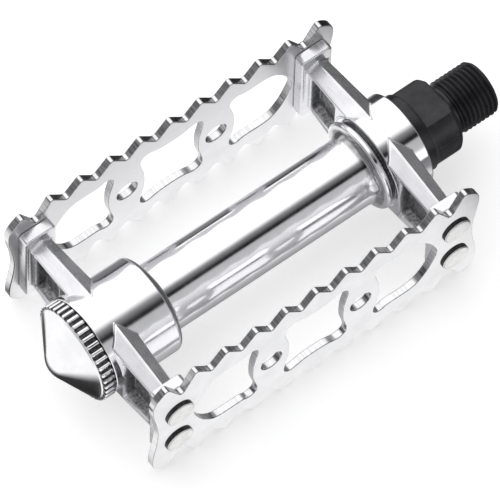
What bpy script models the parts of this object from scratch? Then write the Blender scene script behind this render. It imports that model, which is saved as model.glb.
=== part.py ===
"""Double-sided cage pedal for a bicycle, as an assembly of separate pieces.

The pedal axis is world X, with the crank thread at +X and the dust cap at -X. World Z is up, and the two toothed cage
plates stand at -Y and +Y. The origin is on the axis, midway along the cage plates. Units are metres; the dimensions
below are millimetres, and MM turns them into metres.
"""

import math

import bmesh
import bpy
from mathutils import Matrix, Vector

MM = 0.001

# Cage plates
TEETH = 11
TOOTH_PITCH = 8.68
PLATE_TIP_Z = 18.75  # tooth tips above and below the axis
TOOTH_DEPTH = 3.75
END_ROOT_DEPTH = 5.6
TOOTH_ROUND = 0.9
PLATE_MID_Y = 28.0
PLATE_THICK = 2.0
PLATE_HALF_LENGTH = 47.4
PLATE_WAIST = 45.9  # half length at mid height
HOLE_X = 13.02  # accessory holes
HOLE_DIA = 6.0

# Body casting
BARREL_R = 12.75
BARREL_OUT = -45.6
BARREL_IN = -25.9
TUBE_R = 8.95
LIP_R = 11.8
GROOVE_R = 10.7
HOUSING_R = 12.4
HOUSING_END = 47.4
THROUGH_BORE_R = 6.9
CUP_SEAT_R = 10.45
CAP_BORE_R = 11.25
SEAL_SEAT_R = 10.75
ARM_X = 40.3
ARM_HUB_Y = 6.0
ARM_HALF_W_HUB = 3.7
ARM_HALF_W_PAD = 2.85
ARM_RIDGE_HUB = 12.0
ARM_RIDGE_PAD = 9.4
ARM_ROOF_FALL = 0.62  # height lost per width, from the ridge to either edge
PAD_HALF_W = 4.4
PAD_HALF_H = 12.8
PAD_THICK = 3.0
JOINT_GAP = 0.08  # between faces that touch on the real pedal

# Rivets
RIVET_Z = 6.4
RIVET_HEAD_R = 3.8
RIVET_HEAD_H = 1.5
RIVET_SHANK_R = 2.0
RIVET_HOLE_R = 2.08
RIVET_LENGTH = 5.9  # under the head

# Bearings: loose 5/32 in balls in pressed cups
BALL_R = 1.984
BALLS = 11
BALL_CIRCLE_R = 7.3
RACE_R = BALL_R + 0.08
OUTER_BALL_X = -37.2
INNER_BALL_X = 41.2
CUP_R = 10.4

# Spindle, 9/16 in x 20 crank thread
THREAD_R = 7.144
THREAD_START = 60.4
THREAD_END = 71.3
NECK_R = 6.2
SHOULDER_INNER_R = 7.3  # clear of the thread's crests
COLLAR_R = 10.3
COLLAR_START = 47.7
COLLAR_END = 50.2
FLAT_SECTION_R = 9.8
FLAT_SECTION_END = 58.8
ACROSS_FLATS = 15.0
FLATS_TILT = 10.0  # degrees about the axis, at rest
SPINDLE_TIP = -46.8
TIP_THREAD_R = 3.95
KEYWAY_W = 1.8

# Dust cap
CAP_RING_R = 13.0
CAP_RING_START = -49.1
CAP_NOSE_X = -55.7
CAP_NOSE_R = 5.0


def clear_scene():
    for obj in list(bpy.data.objects):
        bpy.data.objects.remove(obj, do_unlink=True)


clear_scene()
PARTS = bpy.data.collections.new("cage_pedal")
CUTTERS = bpy.data.collections.new("cage_pedal_cutters")
bpy.context.scene.collection.children.link(PARTS)
bpy.context.scene.collection.children.link(CUTTERS)


def material(name, colour, roughness, metallic):
    mat = bpy.data.materials.new(name)
    mat.use_nodes = True
    shader = mat.node_tree.nodes["Principled BSDF"]
    shader.inputs["Base Color"].default_value = (*colour, 1.0)
    shader.inputs["Roughness"].default_value = roughness
    shader.inputs["Metallic"].default_value = metallic
    mat.diffuse_color = (*colour, 1.0)
    return mat


POLISHED = material("polished_alloy_casting", (0.80, 0.80, 0.82), 0.12, 1.0)
CAGE = material("satin_cage_plate", (0.72, 0.72, 0.73), 0.30, 1.0)
RIVET = material("rivet_steel", (0.66, 0.66, 0.65), 0.28, 1.0)
CHROME = material("chromed_cap", (0.85, 0.85, 0.87), 0.06, 1.0)
BLACK_OXIDE = material("black_spindle", (0.035, 0.034, 0.038), 0.38, 0.7)
HARDENED = material("hardened_bearing_steel", (0.50, 0.49, 0.48), 0.22, 1.0)
BALL_STEEL = material("bearing_ball_steel", (0.72, 0.72, 0.72), 0.05, 1.0)
ZINC = material("zinc_plated_steel", (0.60, 0.61, 0.63), 0.32, 1.0)
RUBBER = material("black_rubber", (0.02, 0.02, 0.02), 0.75, 0.0)


def place(obj, mat, helper=False):
    (CUTTERS if helper else PARTS).objects.link(obj)
    if helper:
        obj.hide_render = True
        obj.display_type = "WIRE"
    else:
        obj.data.materials.append(mat)
    return obj


def turned(name, profile, mat=None, steps=40, helper=False):
    """A shape turned about the pedal axis. profile lists (x, radius) down the outer side from +X to -X.

    The profile closes on itself, except between two neighbours that are both on the axis.
    """
    mesh = bpy.data.meshes.new(name)
    points = [(radius * MM, 0.0, x * MM) for x, radius in profile]
    pairs = [(i, (i + 1) % len(points)) for i in range(len(points))]
    edges = [(i, j) for i, j in pairs if profile[i][1] > 0.0 or profile[j][1] > 0.0]
    mesh.from_pydata(points, edges, [])
    obj = bpy.data.objects.new(name, mesh)
    place(obj, mat, helper)
    obj.rotation_euler = (0.0, math.radians(90), 0.0)
    screw = obj.modifiers.new("turn", "SCREW")
    screw.axis = "Z"
    screw.steps = screw.render_steps = steps
    screw.use_merge_vertices = True
    screw.merge_threshold = 0.000001
    screw.use_smooth_shade = True
    return obj


def arc(cx, cr, radius, start, end, count):
    """Points (x, r) on a circular arc in the turning plane. Angles in degrees: 0 is +X, 90 is outward."""
    out = []
    for i in range(count + 1):
        a = math.radians(start + (end - start) * i / count)
        out.append((cx + radius * math.cos(a), cr + radius * math.sin(a)))
    return out


def boolean(obj, other, operation):
    mod = obj.modifiers.new(other.name, "BOOLEAN")
    mod.operation = operation
    mod.solver = "EXACT"
    mod.object = other
    return mod


def box(name, low, high, bevel=0.0, segments=2, helper=True, mat=None):
    """A box between two corners in millimetres, with its edges rounded where bevel is given."""
    mesh = bpy.data.meshes.new(name)
    bm = bmesh.new()
    bmesh.ops.create_cube(bm, size=1.0)
    size = [(b - a) * MM for a, b in zip(low, high)]
    mid = [(a + b) / 2 * MM for a, b in zip(low, high)]
    bmesh.ops.transform(bm, matrix=Matrix.Diagonal((*size, 1.0)), verts=bm.verts)
    bm.to_mesh(mesh)
    bm.free()
    obj = bpy.data.objects.new(name, mesh)
    place(obj, mat, helper)
    obj.location = mid
    if bevel:
        mod = obj.modifiers.new("round", "BEVEL")
        mod.width = bevel * MM
        mod.segments = segments
    return obj


def rod(name, radius, start, end, segments=24):
    """A helper cylinder from start to end, in millimetres."""
    a, b = Vector(start) * MM, Vector(end) * MM
    mesh = bpy.data.meshes.new(name)
    bm = bmesh.new()
    bmesh.ops.create_cone(
        bm, cap_ends=True, segments=segments, radius1=radius * MM, radius2=radius * MM, depth=(b - a).length
    )
    bm.to_mesh(mesh)
    bm.free()
    obj = bpy.data.objects.new(name, mesh)
    place(obj, None, helper=True)
    obj.location = (a + b) / 2
    obj.rotation_euler = (b - a).to_track_quat("Z", "Y").to_euler()
    return obj


# ---------------------------------------------------------------------------------------------------------------
# Body casting: bearing barrel, centre tube, inboard housing and the four arms with their end pads


def outer_profile():
    """Outer surface of the barrel, from the inboard housing's end to the outboard barrel's end."""
    p = [(HOUSING_END, 0.0), (HOUSING_END, HOUSING_R - 0.5)]
    p += arc(HOUSING_END - 0.5, HOUSING_R - 0.5, 0.5, 0, 90, 2)[1:]
    p += [(37.1, HOUSING_R), (36.8, HOUSING_R - 0.3), (36.8, GROOVE_R), (35.7, GROOVE_R)]
    p += arc(35.15, LIP_R - 0.55, 0.55, 0, 180, 4)
    # concave flare from the lip down to the tube
    flare_x, flare_r = 34.6, LIP_R - 0.6
    for i in range(1, 6):
        t = i / 5
        p.append((flare_x - 4.6 * math.sin(t * math.pi / 2), TUBE_R + (flare_r - TUBE_R) * (1 - math.sin(t * math.pi / 2)) ** 1.6))
    p += [(BARREL_IN + 1.3, TUBE_R)]
    p += arc(BARREL_IN + 1.3, TUBE_R + 1.3, 1.3, 270, 180, 2)[1:]
    p += arc(BARREL_IN - 1.7, BARREL_R - 1.7, 1.7, 0, 90, 3)
    p += [(BARREL_OUT, BARREL_R), (BARREL_OUT, 0.0)]
    return p


def bore_profile():
    """The stepped bore, open at both ends."""
    return [
        (HOUSING_END + 2, 0.0),
        (HOUSING_END + 2, SEAL_SEAT_R),
        (44.4, SEAL_SEAT_R),
        (44.4, CUP_SEAT_R),
        (INNER_BALL_X - 3.35, CUP_SEAT_R),
        (INNER_BALL_X - 3.35, THROUGH_BORE_R),
        (OUTER_BALL_X + 3.35, THROUGH_BORE_R),
        (OUTER_BALL_X + 3.35, CUP_SEAT_R),
        (-42.0, CUP_SEAT_R),
        (-42.0, CAP_BORE_R),
        (BARREL_OUT - 2, CAP_BORE_R),
        (BARREL_OUT - 2, 0.0),
    ]


def arm_bar(name, cx):
    """A bar right through the barrel whose two ends are the front and rear arms: a six-sided section with a ridge
    above and below, tapering from the hub to the pads."""
    mesh = bpy.data.meshes.new(name)
    bm = bmesh.new()
    end_y = PLATE_MID_Y - PLATE_THICK / 2 - JOINT_GAP - 1.0
    rings = []
    for y in (-end_y, -ARM_HUB_Y, ARM_HUB_Y, end_y):
        hub = abs(y) == ARM_HUB_Y
        ridge = ARM_RIDGE_HUB if hub else ARM_RIDGE_PAD
        half = ARM_HALF_W_HUB if hub else ARM_HALF_W_PAD
        edge = ridge - ARM_ROOF_FALL * half
        section = [(0.0, ridge), (half, edge), (half, -edge), (0.0, -ridge), (-half, -edge), (-half, edge)]
        rings.append([bm.verts.new(((cx + x) * MM, y * MM, z * MM)) for x, z in section])
    for a, b in zip(rings, rings[1:]):
        for i in range(6):
            j = (i + 1) % 6
            bm.faces.new((a[i], a[j], b[j], b[i]))
    bm.faces.new(rings[0])
    bm.faces.new(rings[-1])
    bmesh.ops.recalc_face_normals(bm, faces=bm.faces)
    bm.to_mesh(mesh)
    bm.free()
    return place(bpy.data.objects.new(name, mesh), None, helper=True)


PAD_FACE_Y = PLATE_MID_Y - PLATE_THICK / 2 - JOINT_GAP

body = turned("pedal_body_casting", outer_profile(), POLISHED, steps=44)
for end, cx in (("outboard", -ARM_X), ("inboard", ARM_X)):
    boolean(body, arm_bar(f"{end}_arm_bar", cx), "UNION")
for end, cx in (("outboard", -ARM_X), ("inboard", ARM_X)):
    for side, s in (("front", -1), ("rear", 1)):
        ys = sorted((s * (PAD_FACE_Y - PAD_THICK), s * PAD_FACE_Y))
        pad = box(
            f"{end}_{side}_pad",
            (cx - PAD_HALF_W, ys[0], -PAD_HALF_H),
            (cx + PAD_HALF_W, ys[1], PAD_HALF_H),
            bevel=0.5,
            segments=2,
        )
        boolean(body, pad, "UNION")
boolean(body, turned("stepped_bore", bore_profile(), steps=44, helper=True), "DIFFERENCE")
for end, cx in (("outboard", -ARM_X), ("inboard", ARM_X)):
    for side, s in (("front", -1), ("rear", 1)):
        ys = sorted((s * 13.6, s * 21.6))
        pocket = box(
            f"{end}_{side}_pocket",
            (cx - 6.3, ys[0], -6.0),
            (cx - 0.3, ys[1], 6.0),
            bevel=0.9,
            segments=2,
        )
        boolean(body, pocket, "DIFFERENCE")
        for level, z in (("upper", RIVET_Z), ("lower", -RIVET_Z)):
            hole = rod(
                f"{end}_{side}_{level}_rivet_bore",
                RIVET_HOLE_R,
                (cx, s * (PAD_FACE_Y + 2.0), z),
                (cx, s * (PAD_FACE_Y - (RIVET_LENGTH - PLATE_THICK - JOINT_GAP) - 0.2), z),
                segments=16,
            )
            boolean(body, hole, "DIFFERENCE")


# ---------------------------------------------------------------------------------------------------------------
# Cage plates


def smooth_loop(points, per=3, closed=True):
    """Catmull-Rom points through a loop of corners."""
    out = []
    n = len(points)
    for i in range(n if closed else n - 1):
        p0, p1, p2, p3 = (
            points[(i - 1) % n] if closed else points[max(i - 1, 0)],
            points[i],
            points[(i + 1) % n] if closed else points[i + 1],
            points[(i + 2) % n] if closed else points[min(i + 2, n - 1)],
        )
        for k in range(per):
            t = k / per
            out.append(
                tuple(
                    0.5
                    * (
                        2 * b
                        + (c - a) * t
                        + (2 * a - 5 * b + 4 * c - d) * t * t
                        + (3 * b - a - 3 * c + d) * t**3
                    )
                    for a, b, c, d in zip(p0, p1, p2, p3)
                )
            )
    if not closed:
        out.append(points[-1])
    return out


def circle(cx, cz, r, n):
    return [(cx + r * math.cos(2 * math.pi * i / n), cz + r * math.sin(2 * math.pi * i / n)) for i in range(n)]


def flank_lean(depth):
    """The slope of a flank, in radians, between a tip and a root of the same rounding."""
    half, rise = TOOTH_PITCH / 2, depth - 2 * TOOTH_ROUND
    return math.atan2(rise, half) + math.asin(2 * TOOTH_ROUND / math.hypot(half, rise))


def tooth_edge():
    """The upper toothed edge from the last tooth's outer flank at -X to that at +X, round at tips and roots. The root
    beside each end tooth is deeper, so that the end tooth stands up as a horn."""
    r = TOOTH_ROUND
    depths = [END_ROOT_DEPTH] + [TOOTH_DEPTH] * (TEETH - 3) + [END_ROOT_DEPTH]
    leans = [flank_lean(d) for d in depths]
    out = []
    for k in range(TEETH):
        x = (k - (TEETH - 1) / 2) * TOOTH_PITCH
        before = leans[k - 1] if k else flank_lean(TOOTH_DEPTH)
        after = leans[k] if k < TEETH - 1 else flank_lean(TOOTH_DEPTH)
        for a in (-before, 0.0, after):
            out.append((x + r * math.sin(a), PLATE_TIP_Z - r + r * math.cos(a)))
        if k < TEETH - 1:
            xv = x + TOOTH_PITCH / 2
            for a in (-leans[k], 0.0, leans[k]):
                out.append((xv + r * math.sin(a), PLATE_TIP_Z - depths[k] + r - r * math.cos(a)))
    return out


def plate_outline():
    top = tooth_edge()
    last_x, last_z = top[-1]
    end = smooth_loop(
        [
            (last_x, last_z),
            (46.3, 16.35),
            (PLATE_HALF_LENGTH, 13.6),
            (PLATE_HALF_LENGTH - 0.25, 9.6),
            (46.25, 4.4),
            (PLATE_WAIST, 0.0),
            (46.25, -4.4),
            (PLATE_HALF_LENGTH - 0.25, -9.6),
            (PLATE_HALF_LENGTH, -13.6),
            (46.3, -16.35),
            (last_x, -last_z),
        ],
        per=2,
        closed=False,
    )
    bottom = [(x, -z) for x, z in reversed(top)]
    far_end = [(-x, z) for x, z in reversed(end)]
    return top + end[1:-1] + bottom + far_end[1:-1]


def middle_window():
    quarter = [(0.0, 9.9), (3.6, 10.2), (6.7, 11.1), (8.6, 10.3), (9.1, 8.4), (8.5, 5.4), (7.9, 2.4)]
    right = quarter + [(x, -z) for x, z in reversed(quarter)]
    left = [(-x, z) for x, z in reversed(right[1:-1])]
    return smooth_loop(right + left, per=2)


def end_window(side):
    upper = [
        (35.4, 0.0), (34.4, 3.4), (32.5, 6.9), (29.9, 9.5), (27.0, 10.3), (21.6, 10.3), (19.2, 11.0), (17.5, 10.2),
        (17.1, 8.3), (17.9, 5.0), (18.4, 2.2),
    ]
    loop = upper + [(x, -z) for x, z in reversed(upper[1:])]
    return [(side * x, z) for x, z in smooth_loop(loop, per=2)]


def cage_plate(name, side):
    """A flat toothed plate standing at side * PLATE_MID_Y, cut through with three windows, two accessory holes and
    four rivet holes."""
    loops = [plate_outline(), middle_window(), end_window(-1), end_window(1)]
    loops += [circle(x, 0.0, HOLE_DIA / 2, 20) for x in (-HOLE_X, HOLE_X)]
    loops += [circle(x, z, RIVET_HOLE_R, 16) for x in (-ARM_X, ARM_X) for z in (-RIVET_Z, RIVET_Z)]
    curve = bpy.data.curves.new(name, "CURVE")
    curve.dimensions = "2D"
    curve.fill_mode = "BOTH"
    curve.extrude = PLATE_THICK / 2 * MM
    for loop in loops:
        spline = curve.splines.new("POLY")
        spline.points.add(len(loop) - 1)
        for point, (x, z) in zip(spline.points, loop):
            point.co = (x * MM, z * MM, 0.0, 1.0)
        spline.use_cyclic_u = True
    flat = bpy.data.objects.new(name + "_outline", curve)
    bpy.context.scene.collection.objects.link(flat)
    flat.rotation_euler = (math.radians(90), 0.0, 0.0)
    flat.location = (0.0, side * PLATE_MID_Y * MM, 0.0)
    bpy.context.view_layer.update()
    mesh = bpy.data.meshes.new_from_object(flat.evaluated_get(bpy.context.evaluated_depsgraph_get()))
    mesh.name = name
    world = flat.matrix_world.copy()
    bpy.data.objects.remove(flat, do_unlink=True)
    bm = bmesh.new()
    bm.from_mesh(mesh)
    bmesh.ops.remove_doubles(bm, verts=bm.verts, dist=0.000001)
    bmesh.ops.recalc_face_normals(bm, faces=bm.faces)
    bm.to_mesh(mesh)
    bm.free()
    mesh.materials.clear()
    obj = bpy.data.objects.new(name, mesh)
    place(obj, CAGE)
    obj.matrix_world = world
    return obj


cage_plate("cage_plate_front", -1)
cage_plate("cage_plate_rear", 1)


# ---------------------------------------------------------------------------------------------------------------
# Rivets: a round flat head outside the plate and a shank pressed into the arm


def rivet_mesh():
    mesh = bpy.data.meshes.new("cage_rivet")
    head = [(RIVET_HEAD_H, 0.0), (RIVET_HEAD_H, RIVET_HEAD_R - 0.6)]
    head += [(RIVET_HEAD_H - 0.18, RIVET_HEAD_R - 0.18), (RIVET_HEAD_H - 0.6, RIVET_HEAD_R)]
    profile = head + [(0.0, RIVET_HEAD_R), (0.0, RIVET_SHANK_R), (-RIVET_LENGTH + 0.4, RIVET_SHANK_R), (-RIVET_LENGTH, RIVET_SHANK_R - 0.4), (-RIVET_LENGTH, 0.0)]
    mesh.from_pydata([(r * MM, 0.0, x * MM) for x, r in profile], [(i, i + 1) for i in range(len(profile) - 1)], [])
    return mesh


for end, cx in (("outboard", -ARM_X), ("inboard", ARM_X)):
    for side, s in (("front", -1), ("rear", 1)):
        for level, z in (("upper", RIVET_Z), ("lower", -RIVET_Z)):
            rivet = bpy.data.objects.new(f"rivet_{side}_{end}_{level}", rivet_mesh())
            place(rivet, RIVET)
            rivet.location = (cx * MM, s * (PLATE_MID_Y + PLATE_THICK / 2 + JOINT_GAP) * MM, z * MM)
            rivet.rotation_euler = (math.radians(-90 * s), 0.0, 0.0)
            screw = rivet.modifiers.new("turn", "SCREW")
            screw.axis = "Z"
            screw.steps = screw.render_steps = 20
            screw.use_merge_vertices = True
            screw.merge_threshold = 0.000001
            screw.use_smooth_shade = True


# ---------------------------------------------------------------------------------------------------------------
# Bearings


def cup(name, ball_x, direction):
    """Pressed cup: outer ring and back flange with a quarter-round race. direction points to the back flange."""
    d = direction
    back, front = ball_x + d * 3.3, ball_x - d * 2.2
    race = arc(ball_x, BALL_CIRCLE_R, RACE_R, 90, 0 if d > 0 else 180, 4)
    if d > 0:
        outer = [(back, CUP_R - 0.4), (back - 0.4, CUP_R), (front, CUP_R), (front, BALL_CIRCLE_R + RACE_R)]
        inner = race + [(ball_x + RACE_R, 7.15), (back, 7.15)]
    else:
        outer = [(front, BALL_CIRCLE_R + RACE_R), (front, CUP_R), (back + 0.4, CUP_R), (back, CUP_R - 0.4)]
        inner = [(back, 7.15), (ball_x - RACE_R, 7.15)] + race[::-1]
    return turned(name, outer + inner, HARDENED, steps=36)


cup("bearing_cup_outboard", OUTER_BALL_X, 1)
cup("bearing_cup_inboard", INNER_BALL_X, -1)


def ball(name, x, angle):
    mesh = bpy.data.meshes.new(name)
    bm = bmesh.new()
    bmesh.ops.create_icosphere(bm, subdivisions=2, radius=BALL_R * MM)
    for face in bm.faces:
        face.smooth = True
    bm.to_mesh(mesh)
    bm.free()
    obj = place(bpy.data.objects.new(name, mesh), BALL_STEEL)
    obj.location = (x * MM, BALL_CIRCLE_R * math.cos(angle) * MM, BALL_CIRCLE_R * math.sin(angle) * MM)
    return obj


for end, x in (("outboard", OUTER_BALL_X), ("inboard", INNER_BALL_X)):
    for i in range(BALLS):
        ball(f"ball_{end}_{i + 1:02d}", x, 2 * math.pi * i / BALLS)

CONE_OUT, CONE_IN = -41.6, OUTER_BALL_X + 0.5
cone_profile = [(CONE_IN, BALL_CIRCLE_R - RACE_R - 0.1), (OUTER_BALL_X, BALL_CIRCLE_R - RACE_R)]
cone_profile += arc(OUTER_BALL_X, BALL_CIRCLE_R, RACE_R, 270, 192, 4)[1:]
cone_profile += [(CONE_OUT, 6.87), (CONE_OUT, TIP_THREAD_R + 0.1), (CONE_IN, TIP_THREAD_R + 0.1)]
cone = turned("adjusting_cone", cone_profile, HARDENED, steps=36)
for s in (-1, 1):
    # two flats that take a thin cone spanner
    flats = box(f"cone_flat_{'a' if s < 0 else 'b'}", (CONE_OUT - 1, min(s * 6.0, s * 9), -9), (CONE_OUT + 1.6, max(s * 6.0, s * 9), 9))
    boolean(cone, flats, "DIFFERENCE")

WASHER_OUT = CONE_OUT - 0.08 - 0.9
washer = turned(
    "tabbed_lock_washer",
    [(CONE_OUT - 0.08, 6.4), (WASHER_OUT, 6.4), (WASHER_OUT, TIP_THREAD_R + 0.1), (CONE_OUT - 0.08, TIP_THREAD_R + 0.1)],
    ZINC,
    steps=32,
)
boolean(
    washer,
    box("washer_tab", (WASHER_OUT, -(KEYWAY_W / 2 - 0.12), 3.15), (CONE_OUT - 0.08, KEYWAY_W / 2 - 0.12, 4.8)),
    "UNION",
)

NUT_IN = WASHER_OUT - 0.08
NUT_OUT = NUT_IN - 3.0
nut_mesh = bpy.data.meshes.new("lock_nut")
bm = bmesh.new()
bmesh.ops.create_cone(
    bm, cap_ends=True, segments=6, radius1=12.0 / math.sqrt(3) * MM, radius2=12.0 / math.sqrt(3) * MM, depth=(NUT_IN - NUT_OUT) * MM
)
bm.to_mesh(nut_mesh)
bm.free()
nut = place(bpy.data.objects.new("lock_nut", nut_mesh), ZINC)
nut.location = ((NUT_IN + NUT_OUT) / 2 * MM, 0.0, 0.0)
nut.rotation_euler = (0.0, math.radians(90), 0.0)
boolean(nut, rod("nut_bore", TIP_THREAD_R + 0.1, (NUT_OUT - 2, 0, 0), (NUT_IN + 2, 0, 0), segments=32), "DIFFERENCE")

turned(
    "dust_seal",
    [(47.1, 10.3), (46.8, 10.65), (44.6, 10.65), (44.6, 8.3), (45.2, 8.05), (45.8, 8.3), (47.1, 8.3)],
    RUBBER,
    steps=36,
)


# ---------------------------------------------------------------------------------------------------------------
# Spindle


def spindle_profile():
    p = [
        (THREAD_END, 0.0),
        (THREAD_END, THREAD_R - 0.9),
        (THREAD_END - 0.9, THREAD_R),
        (THREAD_START + 0.6, THREAD_R),
        (THREAD_START, NECK_R),
        (FLAT_SECTION_END + 0.45, NECK_R),
        (FLAT_SECTION_END, SHOULDER_INNER_R),
        (FLAT_SECTION_END, FLAT_SECTION_R - 1.0),
        (FLAT_SECTION_END - 1.0, FLAT_SECTION_R),
        (COLLAR_END, FLAT_SECTION_R),
        (COLLAR_END - 0.15, COLLAR_R),
        (COLLAR_START + 0.3, COLLAR_R),
        (COLLAR_START, COLLAR_R - 0.3),
        (COLLAR_START, 7.9),
        (43.9, 7.9),
    ]
    p += arc(INNER_BALL_X, BALL_CIRCLE_R, RACE_R, -12, -90, 4)
    p += [
        (38.6, 5.2),
        (34.0, 5.6),
        (-33.0, 4.9),
        (-35.6, 4.9),
        (-36.0, TIP_THREAD_R),
        (SPINDLE_TIP + 0.6, TIP_THREAD_R),
        (SPINDLE_TIP, TIP_THREAD_R - 0.6),
        (SPINDLE_TIP, 0.0),
    ]
    return p


spindle = turned("spindle", spindle_profile(), BLACK_OXIDE, steps=40)
for s in (-1, 1):
    low, high = sorted((s * ACROSS_FLATS / 2, s * (ACROSS_FLATS / 2 + 6)))
    flat = box(f"spindle_flat_{'a' if s < 0 else 'b'}", (COLLAR_END + 0.5, -12, low), (FLAT_SECTION_END + 0.1, 12, high))
    flat.location = Matrix.Rotation(math.radians(-FLATS_TILT), 3, "X") @ flat.location
    flat.rotation_euler = (math.radians(-FLATS_TILT), 0.0, 0.0)
    boolean(spindle, flat, "DIFFERENCE")
boolean(
    spindle,
    box("spindle_keyway", (SPINDLE_TIP - 1, -KEYWAY_W / 2, 2.9), (CONE_OUT + 0.6, KEYWAY_W / 2, 6)),
    "DIFFERENCE",
)


# ---------------------------------------------------------------------------------------------------------------
# Dust cap: grip ring, conical nose and a hollow threaded spigot


def cap_profile():
    ring_in = BARREL_OUT - 0.1
    p = [(-42.5, CAP_BORE_R - 0.35), (-42.8, CAP_BORE_R - 0.08), (ring_in, CAP_BORE_R - 0.08), (ring_in, CAP_RING_R - 0.3), (ring_in - 0.3, CAP_RING_R)]
    p += [(CAP_RING_START + 0.4, CAP_RING_R), (CAP_RING_START, CAP_RING_R - 0.5)]
    # conical flank, tangent to the round nose
    flank_x, flank_r = CAP_RING_START - 0.3, CAP_RING_R - 1.1
    centre = CAP_NOSE_X + CAP_NOSE_R
    reach = math.hypot(flank_x - centre, flank_r)
    touch = math.degrees(math.atan2(flank_r, flank_x - centre) + math.acos(CAP_NOSE_R / reach))
    p += [(flank_x, flank_r)] + arc(centre, 0.0, CAP_NOSE_R, touch, 180, 4)[:-1] + [(CAP_NOSE_X, 0.0)]
    # hollow inside, open towards the bearing
    p += [(-48.6, 0.0), (-48.6, 7.4), (-47.4, 9.4), (-42.5, 9.4)]
    return p


turned("dust_cap", cap_profile(), CHROME, steps=48)


# ---------------------------------------------------------------------------------------------------------------
# Everything that turns on the spindle hangs from one empty on the pedal axis

turning = bpy.data.objects.new("platform_axis", None)
turning.empty_display_size = 0.02
PARTS.objects.link(turning)
fixed = {"spindle", "adjusting_cone", "tabbed_lock_washer", "lock_nut"}
for obj in list(PARTS.objects):
    if obj is not turning and obj.name not in fixed:
        obj.parent = turning
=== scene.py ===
import math

import bpy
import numpy as np
from mathutils import Matrix, Vector


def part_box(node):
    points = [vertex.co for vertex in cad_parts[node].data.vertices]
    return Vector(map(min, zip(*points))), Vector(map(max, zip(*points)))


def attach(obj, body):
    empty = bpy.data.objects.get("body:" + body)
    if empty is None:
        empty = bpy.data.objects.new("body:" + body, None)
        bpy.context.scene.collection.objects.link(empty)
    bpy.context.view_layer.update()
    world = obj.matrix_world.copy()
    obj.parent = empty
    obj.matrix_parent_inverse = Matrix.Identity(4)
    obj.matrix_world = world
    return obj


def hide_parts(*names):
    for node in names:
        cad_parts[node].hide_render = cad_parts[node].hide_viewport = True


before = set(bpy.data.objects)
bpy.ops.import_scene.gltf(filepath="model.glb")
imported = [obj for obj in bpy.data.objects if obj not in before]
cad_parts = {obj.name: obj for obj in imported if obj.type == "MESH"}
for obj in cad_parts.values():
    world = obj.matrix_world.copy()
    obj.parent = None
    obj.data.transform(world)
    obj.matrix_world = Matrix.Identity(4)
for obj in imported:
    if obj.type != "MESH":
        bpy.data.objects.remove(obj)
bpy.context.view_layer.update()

MM = 0.001


def span(node):
    """A CAD node's corners in millimetres."""
    low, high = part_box(node)
    return np.array(low) / MM, np.array(high) / MM


# ---------------------------------------------------------------------------------------------------------------
# Sizes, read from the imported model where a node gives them

body_lo, body_hi = span("pedal_body_casting")
plate_lo, plate_hi = span("cage_plate_rear")
cap_lo, cap_hi = span("dust_cap")
spindle_lo, spindle_hi = span("spindle")
head_lo, head_hi = span("rivet_rear_outboard_upper")
inner_lo, inner_hi = span("rivet_rear_inboard_upper")

TIP_Z = float(plate_hi[2])
PLATE_Y0, PLATE_Y1 = float(plate_lo[1]), float(plate_hi[1])
PLATE_HALF_LENGTH = float(plate_hi[0])
PAD_FACE = float(body_hi[1])
ARM_X = float((inner_lo[0] + inner_hi[0]) / 2)
RIVET_Z = float((head_lo[2] + head_hi[2]) / 2)
RIVET_HEAD_R = float((head_hi[0] - head_lo[0]) / 2)
RIVET_OUT = float(head_hi[1])
BARREL_OUT, HOUSING_END = float(body_lo[0]), float(body_hi[0])
CAP_TIP = float(cap_lo[0])
CAP_IN = float(cap_hi[0])
RING_R = float(cap_hi[2])
SPINDLE_TIP, THREAD_END = float(spindle_lo[0]), float(spindle_hi[0])

TOOTH_PITCH, TEETH, TOOTH_DEPTH, END_ROOT_DEPTH, TOOTH_ROUND = 8.68, 11, 3.75, 5.6, 0.9
PLATE_WAIST = 45.9
HOLE_X, HOLE_R = 13.02, 3.0
BARREL_R, BARREL_IN, TUBE_R = 12.75, -25.9, 8.95
LIP_R, GROOVE_R, HOUSING_R = 11.8, 10.7, 12.4
BALL_R, BALL_CIRCLE_R, BALLS = 1.984, 7.3, 11
RACE_R = BALL_R + 0.08
OUTER_BALL_X, INNER_BALL_X = -37.2, 41.2
THREAD_R, THREAD_START, PITCH = 7.144, 60.4, 1.27


# ---------------------------------------------------------------------------------------------------------------
# Mesh tools


def new_object(name, points, faces, material, body, replaces=(), weighted=True):
    mesh = bpy.data.meshes.new(name)
    mesh.from_pydata([tuple(p) for p in np.asarray(points) * MM], [], faces)
    mesh.validate()
    mesh.polygons.foreach_set("use_smooth", [True] * len(mesh.polygons))
    mesh.update()
    obj = bpy.data.objects.new(name, mesh)
    bpy.context.scene.collection.objects.link(obj)
    for m in material if isinstance(material, (list, tuple)) else [material]:
        mesh.materials.append(m)
    if weighted:
        mod = obj.modifiers.new("normals", "WEIGHTED_NORMAL")
        mod.mode = "FACE_AREA"
        mod.keep_sharp = True
    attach(obj, body)
    if replaces:
        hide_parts(*replaces)
    return obj


class Shape:
    """Collects points and faces of one or more closed shells."""

    def __init__(self):
        self.points, self.faces, self.count = [], [], 0

    def add(self, points, faces):
        points = np.asarray(points, float)
        self.points.append(points)
        self.faces += [tuple(i + self.count for i in f) for f in faces]
        self.count += len(points)

    def all(self):
        return np.concatenate(self.points), self.faces


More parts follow.
